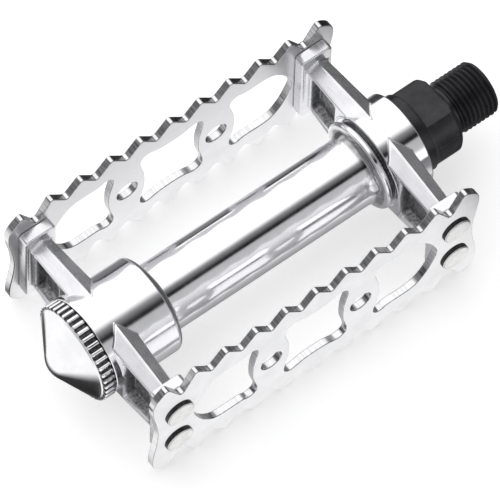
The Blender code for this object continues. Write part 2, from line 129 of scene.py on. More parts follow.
def rings(stations, close_ends=True, loop=False):
    """Quads between rings of points (stations x around x 3). Rings run round +X by the right-hand rule, and stations
    run from +X to -X, for faces that look outwards."""
    stations = np.asarray(stations, float)
    m, n, _ = stations.shape
    points = stations.reshape(-1, 3)
    faces = []
    for i in range(m if loop else m - 1):
        a, b = i * n, ((i + 1) % m) * n
        for j in range(n):
            k = (j + 1) % n
            faces.append((a + j, a + k, b + k, b + j))
    if close_ends and not loop:
        points = np.concatenate([points, [stations[0].mean(0)], [stations[-1].mean(0)]])
        first, last = m * n, m * n + 1
        for j in range(n):
            k = (j + 1) % n
            faces.append((first, k, j))
            faces.append((last, (m - 1) * n + j, (m - 1) * n + k))
    return points, faces


def flipped(faces):
    return [tuple(reversed(f)) for f in faces]


def fillet(points, radius, segments=4, closed=False):
    """Rounds a polyline's corners. radius is one number or one for each point."""
    n = len(points)
    radii = radius if hasattr(radius, "__len__") else [radius] * n
    out = []
    for i, p in enumerate(points):
        if not closed and i in (0, n - 1) or radii[i] <= 0:
            out.append(tuple(p))
            continue
        a, b, c = (np.array(points[j % n], float) for j in (i - 1, i, i + 1))
        u, v = a - b, c - b
        lu, lv = np.linalg.norm(u), np.linalg.norm(v)
        if lu < 1e-6 or lv < 1e-6:
            out.append(tuple(p))
            continue
        u, v = u / lu, v / lv
        angle = math.acos(max(-1.0, min(1.0, float(u @ v))))
        if angle > math.radians(172) or angle < math.radians(4):
            out.append(tuple(p))
            continue
        r = radii[i]
        cut = min(r / math.tan(angle / 2), 0.46 * lu, 0.46 * lv)
        r = cut * math.tan(angle / 2)
        start, end = b + u * cut, b + v * cut
        middle = (u + v) / np.linalg.norm(u + v)
        centre = b + middle * (r / math.sin(angle / 2))
        s, e = start - centre, end - centre
        total = math.acos(max(-1.0, min(1.0, float(s @ e) / max(r * r, 1e-12))))
        for k in range(segments + 1):
            t = k / segments
            if total < 1e-6:
                out.append(tuple(start))
                break
            w = (math.sin((1 - t) * total) * s + math.sin(t * total) * e) / math.sin(total)
            out.append(tuple(centre + w))
    return out


def arc(cx, cr, radius, start, end, count):
    return [
        (
            cx + radius * math.cos(math.radians(start + (end - start) * i / count)),
            cr + radius * math.sin(math.radians(start + (end - start) * i / count)),
        )
        for i in range(count + 1)
    ]


def around(n, offset=0.0):
    return np.linspace(0, 2 * math.pi, n, endpoint=False) + offset


def ring_at(x, radius, theta):
    """A ring of points about the pedal axis. radius is a number or an array over theta."""
    r = np.broadcast_to(np.asarray(radius, float), theta.shape)
    return np.stack([np.full_like(theta, x), r * np.cos(theta), r * np.sin(theta)], axis=1)


def lathe(profile, n=128):
    """Points and faces of a closed profile (x, r), listed from +X down the outer side and back along the inner one."""
    theta = around(n)
    return rings([ring_at(x, r, theta) for x, r in profile], loop=True)


def solid_lathe(profile, n=128):
    """The same for a profile that starts and ends on the axis, given without its two axis points."""
    theta = around(n)
    return rings([ring_at(x, r, theta) for x, r in profile])


# ---------------------------------------------------------------------------------------------------------------
# Materials


class Nodes:
    def __init__(self, name):
        self.material = bpy.data.materials.new(name)
        self.material.use_nodes = True
        self.tree = self.material.node_tree
        self.shader = self.tree.nodes["Principled BSDF"]
        self.coords = self.tree.nodes.new("ShaderNodeTexCoord")

    def link(self, a, b):
        self.tree.links.new(a, b)

    def scaled(self, scale, source="Object"):
        node = self.tree.nodes.new("ShaderNodeMapping")
        node.inputs["Scale"].default_value = scale
        self.link(self.coords.outputs[source], node.inputs["Vector"])
        return node.outputs["Vector"]

    def noise(self, vector, scale=1.0, detail=4.0, rough=0.55, distortion=0.0):
        node = self.tree.nodes.new("ShaderNodeTexNoise")
        node.inputs["Scale"].default_value = scale
        node.inputs["Detail"].default_value = detail
        node.inputs["Roughness"].default_value = rough
        node.inputs["Distortion"].default_value = distortion
        self.link(vector, node.inputs["Vector"])
        return node.outputs["Fac"]

    def ramp(self, value, low, high, to_low=0.0, to_high=1.0, smooth=True):
        node = self.tree.nodes.new("ShaderNodeMapRange")
        node.interpolation_type = "SMOOTHSTEP" if smooth else "LINEAR"
        for key, number in (("From Min", low), ("From Max", high), ("To Min", to_low), ("To Max", to_high)):
            node.inputs[key].default_value = number
        self.link(value, node.inputs["Value"])
        return node.outputs["Result"]

    def math(self, operation, a, b=None):
        node = self.tree.nodes.new("ShaderNodeMath")
        node.operation = operation
        for i, x in enumerate((a, b)):
            if x is None:
                continue
            if isinstance(x, (int, float)):
                node.inputs[i].default_value = x
            else:
                self.link(x, node.inputs[i])
        return node.outputs["Value"]

    def mix(self, fac, a, b):
        node = self.tree.nodes.new("ShaderNodeMix")
        node.data_type = "RGBA"
        if isinstance(fac, (int, float)):
            node.inputs["Factor"].default_value = fac
        else:
            self.link(fac, node.inputs["Factor"])
        for key, x in (("A", a), ("B", b)):
            socket = [s for s in node.inputs if s.name == key and s.type == "RGBA"][0]
            if isinstance(x, tuple):
                socket.default_value = (*x, 1.0)
            else:
                self.link(x, socket)
        return [s for s in node.outputs if s.type == "RGBA"][0]

    def normal_part(self, axis):
        """How far the surface faces along an object axis, from 0 to 1."""
        split = self.tree.nodes.new("ShaderNodeSeparateXYZ")
        self.link(self.coords.outputs["Normal"], split.inputs[0])
        return self.math("ABSOLUTE", split.outputs["XYZ".index(axis)])

    def bump(self, height, distance, strength=1.0, normal=None):
        node = self.tree.nodes.new("ShaderNodeBump")
        node.inputs["Distance"].default_value = distance
        node.inputs["Strength"].default_value = strength
        self.link(height, node.inputs["Height"])
        if normal is not None:
            self.link(normal, node.inputs["Normal"])
        return node.outputs["Normal"]

    def edge(self, low, high):
        """1 on the sharp edges that handling polishes bright, 0 elsewhere."""
        geometry = self.tree.nodes.new("ShaderNodeNewGeometry")
        return self.ramp(geometry.outputs["Pointiness"], low, high)

    def set(self, key, value):
        if isinstance(value, (int, float)):
            self.shader.inputs[key].default_value = value
        elif isinstance(value, tuple):
            self.shader.inputs[key].default_value = (*value, 1.0)
        else:
            self.link(value, self.shader.inputs[key])


def turned_metal(name, light, dark, rough_low, rough_high, line=3200.0, line_depth=1.2e-6, metallic=1.0):
    """Metal polished on a lathe: faint lines round the pedal axis, cloudy roughness and fine pits."""
    k = Nodes(name)
    lines = k.noise(k.scaled((line, 55.0, 55.0)), detail=5.0, rough=0.6)
    clouds = k.noise(k.scaled((160.0, 160.0, 160.0)), detail=6.0, rough=0.6)
    pits = k.noise(k.scaled((2600.0, 2600.0, 2600.0)), detail=3.0, rough=0.5)
    k.set("Base Color", k.mix(k.ramp(clouds, 0.3, 0.7), dark, light))
    k.set("Metallic", metallic)
    k.set("Roughness", k.math("ADD", k.ramp(clouds, 0.25, 0.75, rough_low, rough_high), k.ramp(lines, 0.45, 0.75, 0.0, 0.05)))
    first = k.bump(lines, line_depth)
    k.set("Normal", k.bump(pits, 6e-7, normal=first))
    return k.material


def cast_metal(name, light, dark, rough_low, rough_high):
    """Cast alloy, buffed outside. The pockets are painted darker, as painted shade in the recesses, and are rougher,
    with a sandy bump.
    """
    k = Nodes(name)
    waves = k.noise(k.scaled((260.0, 90.0, 260.0)), detail=2.0)
    grain = k.noise(k.scaled((1800.0, 220.0, 1800.0)), detail=5.0, rough=0.6)
    clouds = k.noise(k.scaled((150.0, 150.0, 150.0)), detail=5.0)
    sand = k.noise(k.scaled((1300.0, 1300.0, 700.0)), detail=5.0, rough=0.7)
    split = k.tree.nodes.new("ShaderNodeSeparateXYZ")
    k.link(k.coords.outputs["Object"], split.inputs[0])
    # distance from the middle of the arm along X, and from the pocket's middle along Y
    from_arm = k.math("ABSOLUTE", k.math("SUBTRACT", k.math("ABSOLUTE", split.outputs["X"]), ARM_X * MM))
    deep = k.ramp(from_arm, 2.2 * MM, 3.0 * MM, 1.0, 0.0)
    across = k.ramp(k.math("ABSOLUTE", k.math("SUBTRACT", k.math("ABSOLUTE", split.outputs["Y"]), 17.5 * MM)), 4.5 * MM, 5.2 * MM, 1.0, 0.0)
    low = k.ramp(k.math("ABSOLUTE", split.outputs["Z"]), 7.6 * MM, 8.4 * MM, 1.0, 0.0)
    pocket = k.math("MULTIPLY", k.math("MULTIPLY", deep, across), low)
    square = k.math("ADD", k.math("MULTIPLY", split.outputs["Y"], split.outputs["Y"]), k.math("MULTIPLY", split.outputs["Z"], split.outputs["Z"]))
    hub = k.ramp(k.math("SQRT", square), 13.0 * MM, 15.5 * MM, 1.0, 0.0)
    buffed = k.mix(k.ramp(clouds, 0.3, 0.7), dark, light)
    # painted shade: the pockets' darker grey stands in for the shade in the recess
    painted_shade = k.mix(k.ramp(sand, 0.35, 0.65), (0.13, 0.13, 0.135), (0.40, 0.40, 0.41))
    k.set("Base Color", k.mix(pocket, buffed, painted_shade))
    k.set("Metallic", 1.0)
    smooth = k.math("ADD", k.ramp(grain, 0.3, 0.7, rough_low, rough_high), k.ramp(clouds, 0.4, 0.8, 0.0, 0.05))
    smooth = k.math("MULTIPLY", smooth, k.math("SUBTRACT", 1.0, k.math("MULTIPLY", hub, 0.5)))
    k.set("Roughness", k.math("ADD", smooth, k.math("MULTIPLY", pocket, 0.22)))
    first = k.bump(waves, 2e-6)
    second = k.bump(grain, 3.5e-7, normal=first)
    k.set("Normal", k.bump(k.math("MULTIPLY", pocket, sand), 2.5e-5, normal=second))
    return k.material


def plate_metal():
    """Satin plated sheet steel. The faces carry rolling marks along the plate, the stamped edges tear marks across it."""
    k = Nodes("satin_cage_plate")
    face = k.ramp(k.normal_part("Y"), 0.75, 0.97)
    rolled = k.noise(k.scaled((70.0, 1400.0, 1400.0)), detail=6.0, rough=0.6)
    torn = k.noise(k.scaled((1500.0, 110.0, 1500.0)), detail=4.0, rough=0.55)
    clouds = k.noise(k.scaled((140.0, 140.0, 140.0)), detail=6.0, rough=0.62)
    specks = k.noise(k.scaled((1900.0, 1900.0, 1900.0)), detail=2.0)
    on_face = k.mix(k.ramp(clouds, 0.3, 0.72), (0.72, 0.72, 0.73), (0.83, 0.83, 0.84))
    on_edge = k.mix(k.ramp(torn, 0.35, 0.65), (0.66, 0.66, 0.67), (0.80, 0.80, 0.81))
    # painted shade and highlight: the stamped edge is painted dark on the flanks of the teeth, and keeps its lighter
    # colour, a painted highlight, where it faces up, down or along the plate
    shaded_flank = k.mix(k.ramp(torn, 0.3, 0.7), (0.20, 0.20, 0.205), (0.46, 0.46, 0.47))
    wear_and_highlight = k.math("MAXIMUM", k.ramp(k.normal_part("Z"), 0.76, 0.94), k.ramp(k.normal_part("X"), 0.82, 0.96))
    on_edge = k.mix(wear_and_highlight, shaded_flank, on_edge)
    k.set("Base Color", k.mix(face, on_edge, on_face))
    k.set("Metallic", 1.0)
    rough_face = k.ramp(clouds, 0.25, 0.75, 0.32, 0.44)
    rough_edge = k.ramp(torn, 0.3, 0.7, 0.12, 0.24)
    k.set("Roughness", k.math("ADD", k.math("MULTIPLY", face, rough_face), k.math("MULTIPLY", k.math("SUBTRACT", 1.0, face), rough_edge)))
    first = k.bump(k.math("MULTIPLY", k.math("SUBTRACT", 1.0, face), torn), 2.2e-6)
    second = k.bump(k.math("MULTIPLY", face, rolled), 1.2e-6, normal=first)
    k.set("Normal", k.bump(specks, 8e-7, normal=second))
    return k.material


def rivet_metal():
    """Plated rivet steel: satin on the set head. Its side is painted near black, partly for its bare, unplated steel
    and partly as painted shade in the gap under the head. The head's rounded rim is painted darker as a painted shadow
    line.
    """
    k = Nodes("rivet_steel")
    facing = k.normal_part("Y")
    flat = k.ramp(facing, 0.38, 0.58)
    # painted shadow: a darker line round the head's rounded rim
    rim_shadow = k.math("MULTIPLY", k.ramp(facing, 0.70, 0.80), k.ramp(facing, 0.90, 0.99, 1.0, 0.0))
    clouds = k.noise(k.scaled((420.0, 420.0, 420.0)), detail=6.0, rough=0.65)
    marks = k.noise(k.scaled((900.0, 900.0, 900.0)), detail=5.0, rough=0.6, distortion=0.6)
    head = k.mix(k.ramp(clouds, 0.3, 0.7), (0.60, 0.60, 0.59), (0.76, 0.76, 0.75))
    head = k.mix(k.math("MULTIPLY", rim_shadow, 0.75), head, (0.30, 0.30, 0.30))
    # partly painted shade: the side of the head is near black for the shade in the gap under the head, as well as for
    # its bare steel
    side = k.mix(k.ramp(marks, 0.35, 0.65), (0.015, 0.015, 0.016), (0.07, 0.07, 0.072))
    k.set("Base Color", k.mix(flat, side, head))
    k.set("Metallic", k.ramp(flat, 0.0, 1.0, 0.7, 1.0))
    k.set("Roughness", k.math("ADD", k.ramp(clouds, 0.3, 0.7, 0.24, 0.36), k.math("MULTIPLY", k.math("SUBTRACT", 1.0, flat), 0.15)))
    first = k.bump(clouds, 8e-6)
    k.set("Normal", k.bump(marks, 3e-6, normal=first))
    return k.material


def chromed_cap():
    """Bright chrome. The gaps of the grip ring are painted near black as painted shade, and are rougher and less
    metallic, with a bump.
    """
    k = Nodes("chromed_cap")
    split = k.tree.nodes.new("ShaderNodeSeparateXYZ")
    k.link(k.coords.outputs["Object"], split.inputs[0])
    square = k.math("ADD", k.math("MULTIPLY", split.outputs["Y"], split.outputs["Y"]), k.math("MULTIPLY", split.outputs["Z"], split.outputs["Z"]))
    radius = k.math("SQRT", square)
    ring = k.ramp(split.outputs["X"], -49.15 * MM, -48.95 * MM)
    gap = k.math("MULTIPLY", ring, k.ramp(radius, (RING_R - 0.45) * MM, (RING_R - 0.12) * MM, 1.0, 0.0))
    lines = k.noise(k.scaled((2400.0, 55.0, 55.0)), detail=5.0, rough=0.6)
    clouds = k.noise(k.scaled((160.0, 160.0, 160.0)), detail=6.0, rough=0.6)
    gap_noise = k.noise(k.scaled((1600.0, 1600.0, 1600.0)), detail=5.0, rough=0.65)
    bright = k.mix(k.ramp(clouds, 0.3, 0.7), (0.82, 0.82, 0.84), (0.90, 0.90, 0.92))
    # painted shade: near black in the gaps of the grip ring
    painted_shade = k.mix(k.ramp(gap_noise, 0.35, 0.65), (0.02, 0.02, 0.02), (0.12, 0.12, 0.12))
    k.set("Base Color", k.mix(gap, bright, painted_shade))
    k.set("Metallic", k.ramp(gap, 0.0, 1.0, 1.0, 0.6))
    polish = k.math("ADD", k.ramp(clouds, 0.25, 0.75, 0.11, 0.16), k.ramp(lines, 0.45, 0.75, 0.0, 0.04))
    k.set("Roughness", k.math("ADD", polish, k.math("MULTIPLY", gap, 0.3)))
    first = k.bump(lines, 6e-7)
    k.set("Normal", k.bump(k.math("MULTIPLY", gap, gap_noise), 1.5e-5, normal=first))
    return k.material


def polished_body():
    """The body's turned and polished surface. The groove and the flare beside the lip and
    the corner at the barrel's inboard end are painted dark as painted shade, and the groove and the corner are also
    rougher."""
    k = Nodes("polished_casting")
    split = k.tree.nodes.new("ShaderNodeSeparateXYZ")
    k.link(k.coords.outputs["Object"], split.inputs[0])
    square = k.math("ADD", k.math("MULTIPLY", split.outputs["Y"], split.outputs["Y"]), k.math("MULTIPLY", split.outputs["Z"], split.outputs["Z"]))
    radius = k.math("SQRT", square)
    clouds_wide = k.noise(k.scaled((300.0, 300.0, 300.0)), detail=4.0, rough=0.6)
    from_groove = k.math("ABSOLUTE", k.math("SUBTRACT", split.outputs["X"], 36.30 * MM))
    groove = k.math("MULTIPLY", k.ramp(from_groove, 0.28 * MM, 0.44 * MM, 1.0, 0.0), k.ramp(radius, 11.2 * MM, 12.0 * MM, 1.0, 0.0))
    flare = k.math("MULTIPLY", k.ramp(split.outputs["X"], 31.9 * MM, 32.9 * MM), k.ramp(split.outputs["X"], 33.95 * MM, 34.2 * MM, 1.0, 0.0))
    corner = k.math("MULTIPLY", k.ramp(split.outputs["X"], (BARREL_IN - 1.35) * MM, (BARREL_IN - 0.85) * MM), k.ramp(split.outputs["X"], (BARREL_IN + 0.7) * MM, (BARREL_IN + 1.2) * MM, 1.0, 0.0))
    groove = k.math("MAXIMUM", groove, k.math("MULTIPLY", corner, 0.74))
    painted_shade_mask = k.math("MAXIMUM", groove, k.math("MULTIPLY", flare, k.ramp(clouds_wide, 0.3, 0.7, 0.50, 0.72)))
    lines = k.noise(k.scaled((3200.0, 55.0, 55.0)), detail=5.0, rough=0.6)
    clouds = k.noise(k.scaled((160.0, 160.0, 160.0)), detail=6.0, rough=0.6)
    pits = k.noise(k.scaled((2600.0, 2600.0, 2600.0)), detail=3.0, rough=0.5)
    bright = k.mix(k.ramp(clouds, 0.3, 0.7), (0.80, 0.80, 0.82), (0.89, 0.89, 0.91))
    # painted shade: near black in the groove, on the flare and in the corner at the barrel's inboard end
    painted_shade = k.mix(k.ramp(pits, 0.35, 0.65), (0.03, 0.03, 0.03), (0.12, 0.12, 0.12))
    k.set("Base Color", k.mix(painted_shade_mask, bright, painted_shade))
    k.set("Metallic", 1.0)
    polish = k.math("ADD", k.ramp(clouds, 0.25, 0.75, 0.09, 0.15), k.ramp(lines, 0.45, 0.75, 0.0, 0.04))
    k.set("Roughness", k.math("ADD", polish, k.math("MULTIPLY", groove, 0.35)))
    first = k.bump(lines, 1.0e-6)
    k.set("Normal", k.bump(pits, 5e-7, normal=first))
    return k.material


def black_oxide():
    """Forged steel with a satin black oxide skin, worn a little grey on its edges and crests."""
    k = Nodes("black_spindle")
    lines = k.noise(k.scaled((2600.0, 70.0, 70.0)), detail=5.0, rough=0.6)
    clouds = k.noise(k.scaled((230.0, 230.0, 230.0)), detail=6.0, rough=0.65)
    specks = k.noise(k.scaled((2400.0, 2400.0, 2400.0)), detail=2.0)
    skin = k.mix(k.ramp(clouds, 0.35, 0.7), (0.022, 0.021, 0.024), (0.040, 0.038, 0.043))
    wear_and_highlight = k.math("MULTIPLY", k.edge(0.54, 0.64), k.ramp(specks, 0.4, 0.7, 0.2, 0.8))
    k.set("Base Color", k.mix(wear_and_highlight, skin, (0.13, 0.13, 0.135)))
    k.set("Metallic", 0.55)
    k.set("Roughness", k.ramp(clouds, 0.3, 0.7, 0.30, 0.42))
    k.set("Specular IOR Level", 0.5)
    first = k.bump(lines, 2.4e-6)
    k.set("Normal", k.bump(specks, 1.6e-6, normal=first))
    return k.material


def rubber():
    k = Nodes("seal_rubber")
    skin = k.noise(k.scaled((900.0, 900.0, 900.0)), detail=6.0, rough=0.7)
    k.set("Base Color", k.mix(skin, (0.012, 0.012, 0.012), (0.032, 0.032, 0.033)))
    k.set("Roughness", k.ramp(skin, 0.3, 0.7, 0.6, 0.85))
    k.set("Normal", k.bump(skin, 1.2e-5))
    return k.material


POLISHED = polished_body()
BUFFED = cast_metal("buffed_casting_arms", (0.80, 0.80, 0.82), (0.70, 0.70, 0.72), 0.22, 0.32)
CAGE = plate_metal()
RIVET = rivet_metal()
CHROME = chromed_cap()
BLACK = black_oxide()
RACE = turned_metal("bearing_race_steel", (0.56, 0.55, 0.54), (0.44, 0.43, 0.43), 0.14, 0.26, line=4200.0, line_depth=9e-7)
BALL = turned_metal("bearing_ball_steel", (0.76, 0.76, 0.77), (0.68, 0.68, 0.69), 0.04, 0.09, line=900.0, line_depth=2e-7)
ZINC = turned_metal("zinc_hardware", (0.64, 0.65, 0.68), (0.50, 0.51, 0.54), 0.24, 0.40, line=1800.0, line_depth=1.6e-6)
RUBBER = rubber()


# ---------------------------------------------------------------------------------------------------------------
# Body casting: the turned barrel, tube and housing


def body_shell():
    p = [(HOUSING_END, 10.75)]
    p += [(HOUSING_END, HOUSING_R), (36.9, HOUSING_R), (36.65, GROOVE_R), (35.95, GROOVE_R)]
    radii = [0, 0.55, 0.35, 0.2, 0.2]
    p = fillet(p, radii, 5)
    p += arc(35.0, LIP_R - 0.9, 0.9, 0, 180, 16)
    flare = []
    for i in range(1, 25):
        t = i / 24
        flare.append((34.1 - 3.0 * (1 - math.cos(t * math.pi / 2)), LIP_R - 0.95 - (LIP_R - 0.95 - TUBE_R) * math.sin(t * math.pi / 2)))
    p += flare
    p += [(22.0, TUBE_R), (10.0, TUBE_R), (-2.0, TUBE_R), (-14.0, TUBE_R), (BARREL_IN + 1.3, TUBE_R)]
    p += arc(BARREL_IN + 1.3, TUBE_R + 1.3, 1.3, 270, 180, 8)[1:]
    p += arc(BARREL_IN - 1.7, BARREL_R - 1.7, 1.7, 0, 90, 10)
    p += [(-33.0, BARREL_R), (-39.0, BARREL_R)]
    p += fillet([(-44.0, BARREL_R), (BARREL_OUT, BARREL_R), (BARREL_OUT, 11.25)], 0.35, 4)
    inner = [
        (BARREL_OUT, 11.25), (-42.0, 11.25), (-42.0, 10.45), (OUTER_BALL_X + 3.35, 10.45), (OUTER_BALL_X + 3.35, 6.9),
        (INNER_BALL_X - 3.35, 6.9), (INNER_BALL_X - 3.35, 10.45), (44.4, 10.45), (44.4, 10.75), (HOUSING_END, 10.75),
    ]
    p += fillet(inner, 0.12, 2)[1:-1]
    return p


points, faces = lathe(body_shell(), 180)
shell = new_object("pedal_body_barrel", points, faces, POLISHED, "platform", ["pedal_body_casting"])


# ---------------------------------------------------------------------------------------------------------------
# The four arms: six-sided, tapering bars with a ridge above and below, filleted into the barrel and the end pads

HUB_Y, PAD_Y = 6.0, PAD_FACE - 1.0
RIDGE_HUB, RIDGE_PAD, HALF_HUB, HALF_PAD, FALL = 12.0, 9.4, 3.7, 2.85, 0.62
PAD_THICK, PAD_HALF_H = 3.0, 12.8
ARM_EDGE_R = 0.42


def section(y):
    """Ridge height, half width and edge height of an arm at that distance from the pedal axis."""
    t = min(max((y - HUB_Y) / (PAD_Y - HUB_Y), 0.0), 1.0)
    ridge = RIDGE_HUB + (RIDGE_PAD - RIDGE_HUB) * t
    half = HALF_HUB + (HALF_PAD - HALF_HUB) * t
    return ridge, half, ridge - FALL * half


# Around the section: (corner, or side and share along it). Corners are rounded, and sides carry extra points.
def section_points(y):
    """The section at y as (x, z, outward x, outward z), always with the same number of points, going round from the
    ridge towards +X."""
    ridge, half, edge = section(y)
    corners = [(0, ridge), (half, edge), (half, -edge), (0, -ridge), (-half, -edge), (-half, edge)]
    along = [10, 12, 10, 10, 44, 10]
    out = []
    for i in range(6):
        a, b, c = (np.array(corners[j % 6], float) for j in (i - 1, i, i + 1))
        d = np.array(corners[(i + 2) % 6], float)
        u, v = (a - b) / np.linalg.norm(a - b), (c - b) / np.linalg.norm(c - b)
        angle = math.acos(float(u @ v))
        cut = ARM_EDGE_R / math.tan(angle / 2)
        centre = b + (u + v) / np.linalg.norm(u + v) * (ARM_EDGE_R / math.sin(angle / 2))
        start, end = b + u * cut - centre, b + v * cut - centre
        total = math.acos(float(start @ end) / ARM_EDGE_R**2)
        for k in range(5):
            t = k / 4
            w = (math.sin((1 - t) * total) * start + math.sin(t * total) * end) / math.sin(total)
            out.append((*(centre + w), *(w / ARM_EDGE_R)))
        w2 = (b - c) / np.linalg.norm(b - c)
        v2 = (d - c) / np.linalg.norm(d - c)
        angle2 = math.acos(float(w2 @ v2))
        far = c + w2 * (ARM_EDGE_R / math.tan(angle2 / 2))
        near = b + v * cut
        n = np.array([-(c - b)[1], (c - b)[0]])
        n = n / np.linalg.norm(n)
        for k in range(1, along[i]):
            p = near + (far - near) * k / along[i]
            out.append((*p, *n))
    return np.array(out)


def pocket_depth(y, z):
    """How deep the pocket in the -X side is there, in millimetres. It has a draft and a rounded floor."""
    ridge, half, edge = section(y)
    half_z = edge - 0.8
    mid, reach = 17.5, 5.0
    qy, qz, r = abs(y - mid) - (reach - 1.3), abs(z) - (half_z - 1.3), 1.3
    outside = math.hypot(max(qy, 0.0), max(qz, 0.0)) + min(max(qy, qz), 0.0) - r
    t = min(max(-outside / 0.75, 0.0), 1.0)
    return (half - 0.3) * (t * t * (3 - 2 * t)) if t < 1 else half - 0.3


def arm(cx, s, hub_r):
    base = section_points(12.0)
    n = len(base)
    hub_round, hub_spread, pad_round = 0.35, 0.16, 0.7
    inner_face = PAD_FACE - PAD_THICK
    # where each line along the arm meets the barrel
    hub_y = []
    for j in range(n):
        low, high = 0.0, hub_r
        for _ in range(40):
            mid = (low + high) / 2
            z = station_point(mid, j)[1]
            if mid * mid + z * z < hub_r * hub_r:
                low = mid
            else:
                high = mid
        hub_y.append((low + high) / 2)
    hub_y = np.array(hub_y)
    shares = np.concatenate([np.linspace(0, 1, 16, endpoint=False) ** 1.5 * 0.16, np.linspace(0.16, 0.90, 76, endpoint=False), 1 - (1 - np.linspace(0, 1, 16)) ** 1.6 * 0.10])
    stations = []
    for t in [-0.05, *shares, 1.04]:
        row = []
        for j in range(n):
            y = hub_y[j] + (inner_face - hub_y[j]) * t
            x, z, nx, nz = station_point(max(y, 0.0), j)
            h = math.hypot(y, z) - hub_r
            if h < hub_round:
                h = max(h, 0.0)
                k = hub_spread * (1 - math.sqrt(max(1 - (1 - h / hub_round) ** 2, 0.0)))
                x, z = x + nx * k, z + nz * k
            d = inner_face - y
            if d < pad_round:
                d = max(d, 0.0)
                k = pad_round * (1 - math.sqrt(max(1 - (1 - d / pad_round) ** 2, 0.0)))
                x, z = x + nx * k, z + nz * k
            if nx < -0.99 and 12.3 < y < 22.7:
                x += pocket_depth(y, z)
            row.append((cx + x, s * y, z))
        stations.append(row)
    points, faces = rings(stations, close_ends=False)
    return np.concatenate([points, [points[-n:].mean(0)]]), faces + hub_end(points[:n]) + pad_end(len(points), n)


def hub_end(ring):
    """Closes the end inside the hub from one side of the arm to the other, so that it keeps to the hub's round wall."""
    top, bottom = int(np.argmax(ring[:, 2])), int(np.argmin(ring[:, 2]))
    n = len(ring)
    down = [(top + i) % n for i in range((bottom - top) % n + 1)]
    other = [(top - i) % n for i in range((top - bottom) % n + 1)]
    faces, i, j = [], 0, 0
    while i < len(down) - 1 or j < len(other) - 1:
        step = j == len(other) - 1 or (i < len(down) - 1 and ring[down[i + 1], 2] >= ring[other[j + 1], 2])
        if step:
            face, i = (down[i + 1], down[i], other[j]), i + 1
        else:
            face, j = (other[j], other[j + 1], down[i]), j + 1
        if len(set(face)) == 3:
            faces.append(face)
    return faces


def pad_end(middle, n):
    """Closes the end inside the pad round its middle point, which is the last one."""
    last = middle - n
    return [(middle, last + j, last + (j + 1) % n) for j in range(n)]


_cache = {}


def station_point(y, j):
    """A point of the section at y, from a linear blend of the hub's and the pad's section, which it is exactly."""
    if not _cache:
        _cache["hub"], _cache["pad"] = section_points(HUB_Y), section_points(PAD_Y)
    t = min(max((y - HUB_Y) / (PAD_Y - HUB_Y), 0.0), 1.0)
    return _cache["hub"][j] * (1 - t) + _cache["pad"][j] * t


def pad(cx, s):
    """An end pad as a rounded block, with its thickness along Y."""
    half_x, half_z = 4.4, PAD_HALF_H
    outline = fillet([(-half_x, -half_z), (half_x, -half_z), (half_x, half_z), (-half_x, half_z)], 1.3, 7, closed=True)
    outline = np.array(outline)
    corner = np.array([half_x, half_z])
    inner, outer = PAD_FACE - PAD_THICK, PAD_FACE
    rows = []
    for y, inset in [(inner, 0.5), (inner + 0.04, 0.3), (inner + 0.15, 0.13), (inner + 0.3, 0.04), (inner + 0.5, 0.0), (outer - 0.35, 0.0), (outer - 0.2, 0.04), (outer - 0.08, 0.12), (outer, 0.3)]:
        shrunk = outline * (1 - inset / corner)
        rows.append([(cx + x, s * y, z) for x, z in shrunk])
    return rings(rows)


def outward(points, faces):
    """Turns the faces round if the shell is inside out."""
    p = np.asarray(points)
    volume = 0.0
    for f in faces:
        a = p[f[0]]
        for i in range(1, len(f) - 1):
            volume += float(np.dot(a, np.cross(p[f[i]], p[f[i + 1]])))
    return faces if volume > 0 else flipped(faces)


for end, cx, hub_r in (("outboard", -ARM_X, BARREL_R), ("inboard", ARM_X, HOUSING_R)):
    for side, s in (("front", -1), ("rear", 1)):
        both = Shape()
        for points, faces in (arm(cx, s, hub_r), pad(cx, s)):
            both.add(points, outward(points, faces))
        points, faces = both.all()
        obj = new_object(f"pedal_body_arm_{side}_{end}", points, faces, BUFFED, "platform", ["pedal_body_casting"])


# ---------------------------------------------------------------------------------------------------------------
# Cage plates


def smooth_loop(points, per=3, closed=True):
    out = []
    n = len(points)
    for i in range(n if closed else n - 1):
        if closed:
            q = [points[(i + k) % n] for k in (-1, 0, 1, 2)]
        else:
            q = [points[max(i - 1, 0)], points[i], points[i + 1], points[min(i + 2, n - 1)]]
        for k in range(per):
            t = k / per
            out.append(
                tuple(
                    0.5 * (2 * b + (c - a) * t + (2 * a - 5 * b + 4 * c - d) * t * t + (3 * b - a - 3 * c + d) * t**3)
                    for a, b, c, d in zip(*q)
                )
            )
    if not closed:
        out.append(points[-1])
    return out


def circle(cx, cz, r, n):
    return [(cx + r * math.cos(2 * math.pi * i / n), cz + r * math.sin(2 * math.pi * i / n)) for i in range(n)]


def flank_lean(depth):
    half, rise = TOOTH_PITCH / 2, depth - 2 * TOOTH_ROUND
    return math.atan2(rise, half) + math.asin(2 * TOOTH_ROUND / math.hypot(half, rise))


def tooth_edge():
    r = TOOTH_ROUND
    depths = [END_ROOT_DEPTH] + [TOOTH_DEPTH] * (TEETH - 3) + [END_ROOT_DEPTH]
    leans = [flank_lean(d) for d in depths]
    out = []
    for k in range(TEETH):
        x = (k - (TEETH - 1) / 2) * TOOTH_PITCH
        before = leans[k - 1] if k else flank_lean(TOOTH_DEPTH)
        after = leans[k] if k < TEETH - 1 else flank_lean(TOOTH_DEPTH)
        for i in range(-5, 6):
            a = (before if i < 0 else after) * i / 5
            out.append((x + r * math.sin(a), TIP_Z - r + r * math.cos(a)))
        if k < TEETH - 1:
            xv = x + TOOTH_PITCH / 2
            for i in range(-5, 6):
                a = leans[k] * i / 5
                out.append((xv + r * math.sin(a), TIP_Z - depths[k] + r - r * math.cos(a)))
    return out


